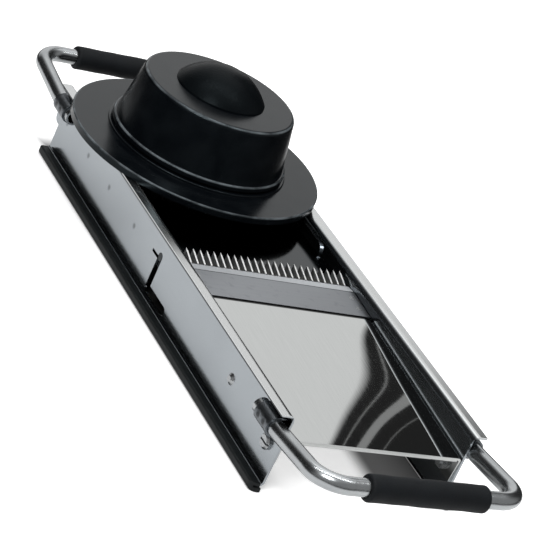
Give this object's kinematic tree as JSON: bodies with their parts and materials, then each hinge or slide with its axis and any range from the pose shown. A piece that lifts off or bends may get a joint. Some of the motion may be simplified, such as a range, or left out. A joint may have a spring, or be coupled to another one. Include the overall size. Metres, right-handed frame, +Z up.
{
  "type": "mandoline slicer",
  "caption": "Steel mandoline slicer with a julienne comb, a tilting feed plate, a tube handle at each end and a black hat-shaped food pusher on its rails.",
  "frame": {"origin": "on the table, under the middle of the frame", "axes": "+Y from the outfeed end to the feed end along the rails, +Z up, +X to the right wall with the knob"},
  "size_m": [0.1382, 0.4, 0.0926],
  "materials": {
    "wall_steel": "satin rolled sheet",
    "guide_steel": "satin rolled sheet",
    "deck_steel": "mirror polished sheet",
    "feed_steel": "mirror polished sheet",
    "blade_steel": "ground blade steel",
    "comb_steel": "ground teeth",
    "tube_steel": "polished tube",
    "fastener_steel": "turned steel",
    "foot_rubber": "matte extruded rubber",
    "grip_rubber": "matte moulded rubber",
    "pusher_plastic": "satin moulded plastic",
    "dome_plastic": "fine textured plastic",
    "nylon": "moulded nylon"
  },
  "bodies": {
    "frame": {"left_side_wall": "wall_steel", "right_side_wall": "wall_steel", "left_feed_guide": "guide_steel", "right_feed_guide": "guide_steel", "left_foot_strip": "foot_rubber", "right_foot_strip": "foot_rubber", "near_handle_tube": "tube_steel", "near_handle_grip": "grip_rubber", "near_left_saddle": "tube_steel", "near_right_saddle": "tube_steel", "far_handle_tube": "tube_steel", "far_handle_grip": "grip_rubber", "far_left_saddle": "tube_steel", "far_right_saddle": "tube_steel", "outfeed_plate": "deck_steel", "main_blade": "blade_steel", "blade_screws": "fastener_steel", "plate_rivets": "fastener_steel", "wall_screws": "fastener_steel", "wall_nuts": "fastener_steel", "hinge_rod": "fastener_steel", "rod_caps": "fastener_steel", "shaft_bush": "nylon"},
    "pusher": {"pusher_base": "pusher_plastic"},
    "plunger": {"plunger_cap": "pusher_plastic", "plunger_dome": "dome_plastic", "plunger_stem": "pusher_plastic", "pin_plate": "pusher_plastic", "food_pins": "fastener_steel", "stem_screw": "fastener_steel"},
    "comb": {"julienne_comb": "comb_steel", "comb_carrier": "guide_steel", "left_comb_pin": "fastener_steel", "right_comb_pin": "fastener_steel", "comb_screws": "fastener_steel"},
    "feed": {"feed_plate": "feed_steel"},
    "adjuster": {"cam_shaft": "fastener_steel", "left_lift_cam": "nylon", "right_lift_cam": "nylon", "thickness_knob": "pusher_plastic", "knob_screw": "fastener_steel"}
  },
  "joints": [
    {"name": "pusher_slide", "type": "slide", "parent": "frame", "child": "pusher", "axis": [0, -1, 0], "range_m": [0, 0.188]},
    {"name": "plunger_lift", "type": "slide", "parent": "pusher", "child": "plunger", "axis": [0, 0, 1], "range_m": [0, 0.02]},
    {"name": "comb_drop", "type": "slide", "parent": "frame", "child": "comb", "axis": [0, 0, -1], "range_m": [0, 0.018]},
    {"name": "feed_tilt", "type": "hinge", "parent": "frame", "child": "feed", "pos_m": [0, 0.153, 0.02875], "axis": [1, 0, 0], "range_deg": [-0.98, 0.98]},
    {"name": "thickness_turn", "type": "hinge", "parent": "frame", "child": "adjuster", "pos_m": [0, 0.034, 0.02395], "axis": [1, 0, 0], "range_deg": [-45, 45]}
  ],
  "couplings": [
    {"joint": "thickness_turn", "follows": "feed_tilt", "ratio": -40.8}
  ]
}
